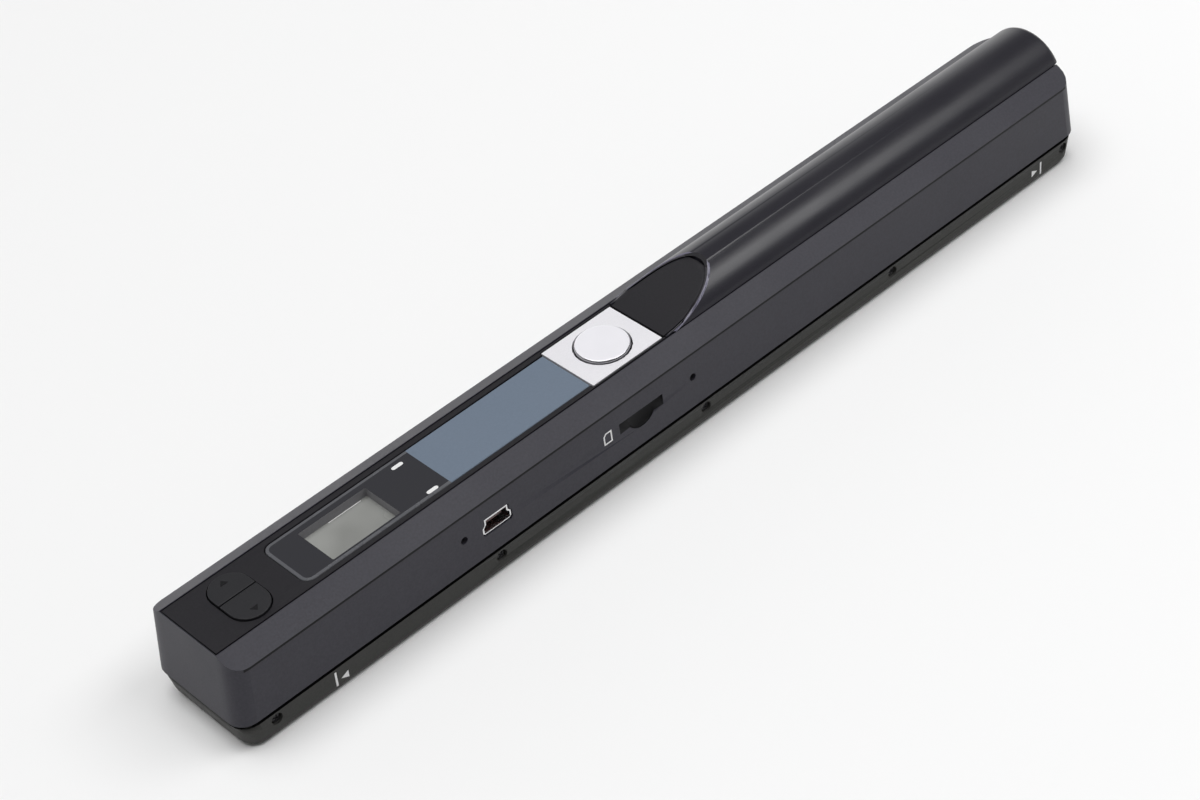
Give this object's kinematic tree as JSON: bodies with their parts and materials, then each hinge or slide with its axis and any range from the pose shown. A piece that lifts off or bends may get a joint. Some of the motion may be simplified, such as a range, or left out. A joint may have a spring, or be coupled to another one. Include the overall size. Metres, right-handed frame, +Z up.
{
  "type": "handheld scanner",
  "caption": "Cordless handheld wand document scanner with a display, two keys, a scan button, a sliding round battery cover and roller rows under the body.",
  "frame": {"origin": "on the page under the middle of the wand, at the lowest point of the rollers", "axes": "+X along the wand from the control panel end to the battery cover end, +Z up, -Y the side with the sockets"},
  "size_m": [0.253, 0.0288, 0.03],
  "materials": {
    "shell_black": "fine-grained black moulded plastic",
    "shell_grey": "fine-grained, slightly warm black plastic",
    "panel_black": "smooth matte near-black plastic",
    "cover_satin": "satin black plastic, matte on the ramp",
    "key_black": "matte near-black plastic",
    "lens_clear": "clear gloss plastic",
    "print_black": "black print seen through the clear lens",
    "label_blue": "blue-grey print, left bare",
    "silver_paint": "silver paint",
    "button_silver": "satin silver plating",
    "display_glass": "grey-green display face",
    "frame_plastic": "dark grey moulded plastic",
    "light_diffuser": "milky white plastic",
    "board_green": "green coated circuit board",
    "switch_black": "black component plastic",
    "bright_steel": "plain bright steel",
    "dark_steel": "black plated steel",
    "socket_plastic": "dark red-brown plastic",
    "clear_glass": "clear flat glass",
    "roller_rubber": "black rubber",
    "gear_white": "white gear plastic",
    "ribbon_white": "white ribbon",
    "cell_wrap": "plain printed wrap"
  },
  "bodies": {
    "body": {"upper_housing": "shell_black", "lower_housing": "shell_grey", "battery_tray": "frame_plastic", "battery_1": "cell_wrap", "battery_2": "cell_wrap", "battery_spring": "bright_steel", "spring_plate": "bright_steel", "contact_plate": "bright_steel", "top_panel": "panel_black", "lens_plate": "lens_clear", "print_film": "print_black", "label_strip": "label_blue", "silver_plate": "silver_paint", "far_key_switch": "switch_black", "near_key_switch": "switch_black", "scan_switch": "switch_black", "display_glass": "display_glass", "display_holder": "frame_plastic", "scan_light_pipe": "light_diffuser", "error_light_pipe": "light_diffuser", "main_board": "board_green", "board_screw_1": "bright_steel", "board_screw_2": "bright_steel", "usb_shell": "bright_steel", "usb_tongue": "socket_plastic", "card_socket": "bright_steel", "time_switch": "switch_black", "format_switch": "switch_black", "sensor_housing": "frame_plastic", "sensor_glass": "clear_glass", "rod_lens": "light_diffuser", "sensor_board": "board_green", "flat_cable": "ribbon_white", "encoder_pin": "bright_steel", "light_eye": "switch_black", "near_screw_1": "dark_steel", "near_screw_2": "dark_steel", "near_screw_3": "dark_steel", "near_screw_4": "dark_steel", "near_screw_5": "dark_steel", "far_screw_1": "dark_steel", "far_screw_2": "dark_steel", "far_screw_3": "dark_steel", "far_screw_4": "dark_steel", "far_screw_5": "dark_steel"},
    "cover": {"battery_cover": "cover_satin"},
    "scan_button": {"scan_button": "button_silver"},
    "far_key": {"far_key": "key_black"},
    "near_key": {"near_key": "key_black"},
    "time_plunger": {"time_plunger": "gear_white"},
    "format_plunger": {"format_plunger": "gear_white"},
    "drive_rollers": {"drive_shaft": "bright_steel", "drive_roller_1": "roller_rubber", "drive_roller_2": "roller_rubber", "roller_pinion": "gear_white"},
    "idler_rollers": {"idler_shaft": "bright_steel", "idler_roller_1": "roller_rubber", "idler_roller_2": "roller_rubber"},
    "encoder": {"encoder_wheel": "gear_white"}
  },
  "joints": [
    {"name": "cover_slide", "type": "slide", "parent": "body", "child": "cover", "axis": [1, 0, 0], "range_m": [0, 0.13]},
    {"name": "scan_press", "type": "slide", "parent": "body", "child": "scan_button", "axis": [0, 0, -1], "range_m": [0, 0.0006], "stiffness_N_per_m": 300, "springref_m": -0.0002},
    {"name": "far_key_press", "type": "slide", "parent": "body", "child": "far_key", "axis": [0, 0, -1], "range_m": [0, 0.0005], "stiffness_N_per_m": 300, "springref_m": -0.0002},
    {"name": "near_key_press", "type": "slide", "parent": "body", "child": "near_key", "axis": [0, 0, -1], "range_m": [0, 0.0005], "stiffness_N_per_m": 300, "springref_m": -0.0002},
    {"name": "time_press", "type": "slide", "parent": "body", "child": "time_plunger", "axis": [0, 1, 0], "range_m": [0, 0.00025], "stiffness_N_per_m": 300, "springref_m": -0.0002},
    {"name": "format_press", "type": "slide", "parent": "body", "child": "format_plunger", "axis": [0, 1, 0], "range_m": [0, 0.00025], "stiffness_N_per_m": 300, "springref_m": -0.0002},
    {"name": "drive_roll", "type": "hinge", "parent": "body", "child": "drive_rollers", "pos_m": [0, 0.00875, 0.0031], "axis": [1, 0, 0], "continuous": true},
    {"name": "idler_roll", "type": "hinge", "parent": "body", "child": "idler_rollers", "pos_m": [0, -0.00875, 0.0031], "axis": [1, 0, 0], "continuous": true},
    {"name": "encoder_spin", "type": "hinge", "parent": "body", "child": "encoder", "pos_m": [-0.1119, 0.00423, 0.00762], "axis": [1, 0, 0], "continuous": true}
  ],
  "couplings": [
    {"joint": "encoder_spin", "follows": "drive_roll", "ratio": -0.4}
  ]
}
